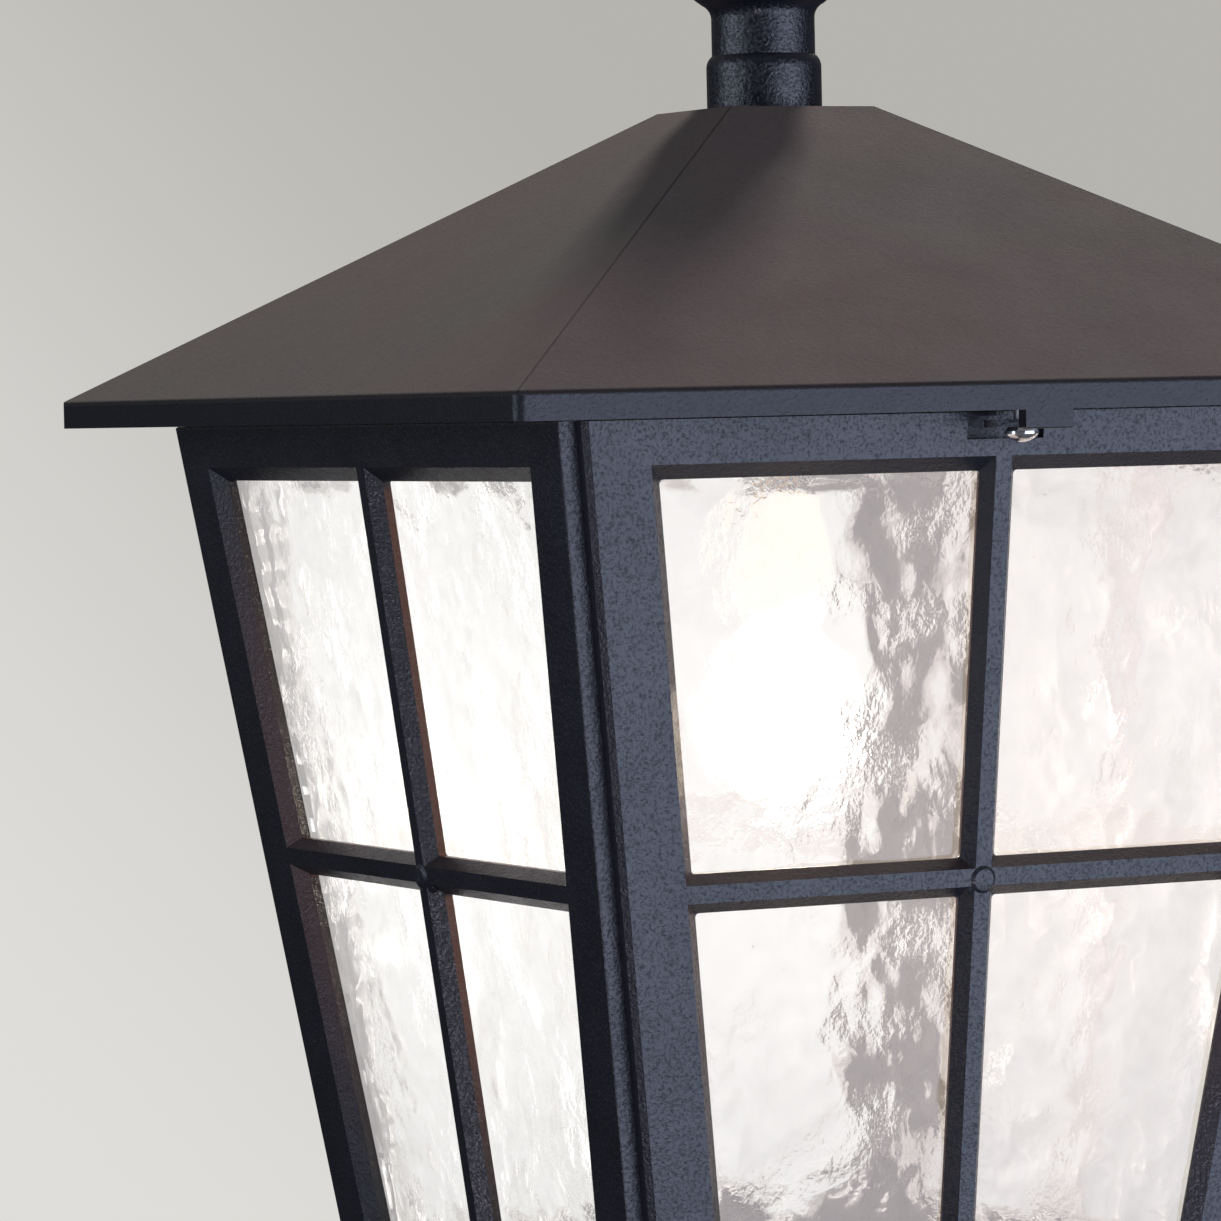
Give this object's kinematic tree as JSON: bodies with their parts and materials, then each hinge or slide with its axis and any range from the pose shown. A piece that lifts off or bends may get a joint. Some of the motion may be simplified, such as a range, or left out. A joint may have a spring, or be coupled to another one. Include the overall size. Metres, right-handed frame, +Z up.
{
  "type": "street lamp post",
  "caption": "Street lamp post: square pedestal with service door, tapered column and four-sided glazed lantern with hinged pyramid roof, catch and finial.",
  "frame": {"origin": "on the ground, at the centre of the square foot flange, under the column's axis", "axes": "+Z up along the column; -Y is the front, where the lantern's catch and the service door are"},
  "size_m": [0.45, 0.45, 2.6086],
  "materials": {
    "post_iron": "satin black paint over cast iron",
    "lantern_frame": "satin black paint with a fine orange-peel grain",
    "roof_paint": "matte weathered brown-black paint",
    "finial_paint": "glossy black paint",
    "rippled_glass": "clear rippled water glass",
    "lit_bulb": "lit pear-shaped lamp",
    "cap_metal": "plain rolled metal",
    "holder_ceramic": "white glazed ceramic",
    "liner_white": "white enamel reflector",
    "steel": "zinc-plated steel",
    "bright_knob": "polished metal",
    "brass": "plain brass",
    "seal_rubber": "black rubber",
    "cable_sheath": "black cable sheath",
    "board": "brown laminated board",
    "grey_plastic": "grey moulded plastic",
    "black_plastic": "black moulded plastic",
    "lever_plastic": "red moulded plastic"
  },
  "bodies": {
    "post": {"base_frame": "lantern_frame", "body_hinge_leaf": "lantern_frame", "bulb_cap": "cap_metal", "bulb_glass": "lit_bulb", "cable_glands": "black_plastic", "cable_grommet": "seal_rubber", "column_bolts": "steel", "column_shaft": "post_iron", "corner_angle_1": "lantern_frame", "corner_angle_2": "lantern_frame", "corner_angle_3": "lantern_frame", "corner_angle_4": "lantern_frame", "corner_screws": "steel", "cutout_base": "grey_plastic", "door_hinge_pins": "steel", "earth_stud": "brass", "equipment_board": "board", "floor_tray": "lantern_frame", "frame_front": "lantern_frame", "frame_left": "lantern_frame", "frame_rear": "lantern_frame", "frame_right": "lantern_frame", "frog_bolts": "steel", "frog_set_screws": "steel", "fuse_carrier": "black_plastic", "holder_nipple": "brass", "lamp_bridge": "lantern_frame", "lampholder": "holder_ceramic", "lantern_frog": "post_iron", "pane_clips": "steel", "pane_front": "rippled_glass", "pane_left": "rippled_glass", "pane_rear": "rippled_glass", "pane_right": "rippled_glass", "pane_seal_front": "seal_rubber", "pane_seal_left": "seal_rubber", "pane_seal_rear": "seal_rubber", "pane_seal_right": "seal_rubber", "pedestal": "post_iron", "riser_cable": "cable_sheath", "roof_hinge_pin": "steel", "roof_seal": "seal_rubber"},
    "roof": {"roof": "roof_paint", "roof_liner": "liner_white", "finial_neck": "finial_paint", "finial_ball": "finial_paint", "finial_stud": "steel", "finial_nut": "steel", "roof_hinge_leaf": "lantern_frame"},
    "catch": {"catch_spindle": "steel", "catch_tongue": "lantern_frame", "catch_knob": "bright_knob"},
    "door": {"pedestal_door": "post_iron", "door_seal": "seal_rubber"},
    "door_lock": {"door_lock_barrel": "brass", "door_lock_cam": "steel"},
    "isolator": {"isolator_lever": "lever_plastic"}
  },
  "joints": [
    {"name": "roof_hinge", "type": "hinge", "parent": "post", "child": "roof", "pos_m": [0, 0.201, 2.3086], "axis": [-1, 0, 0], "range_deg": [0, 100]},
    {"name": "catch_turn", "type": "hinge", "parent": "roof", "child": "catch", "pos_m": [0, -0.203, 2.3106], "axis": [0, 0, 1], "range_deg": [-90, 0]},
    {"name": "door_hinge", "type": "hinge", "parent": "post", "child": "door", "pos_m": [-0.061, -0.106, 0.31], "axis": [0, 0, -1], "range_deg": [0, 110]},
    {"name": "lock_turn", "type": "hinge", "parent": "door", "child": "door_lock", "pos_m": [0.033, -0.1, 0.31], "axis": [0, 1, 0], "range_deg": [0, 90]},
    {"name": "isolator_throw", "type": "hinge", "parent": "post", "child": "isolator", "pos_m": [0, 0.024, 0.2782], "axis": [1, 0, 0], "range_deg": [0, 60]}
  ]
}
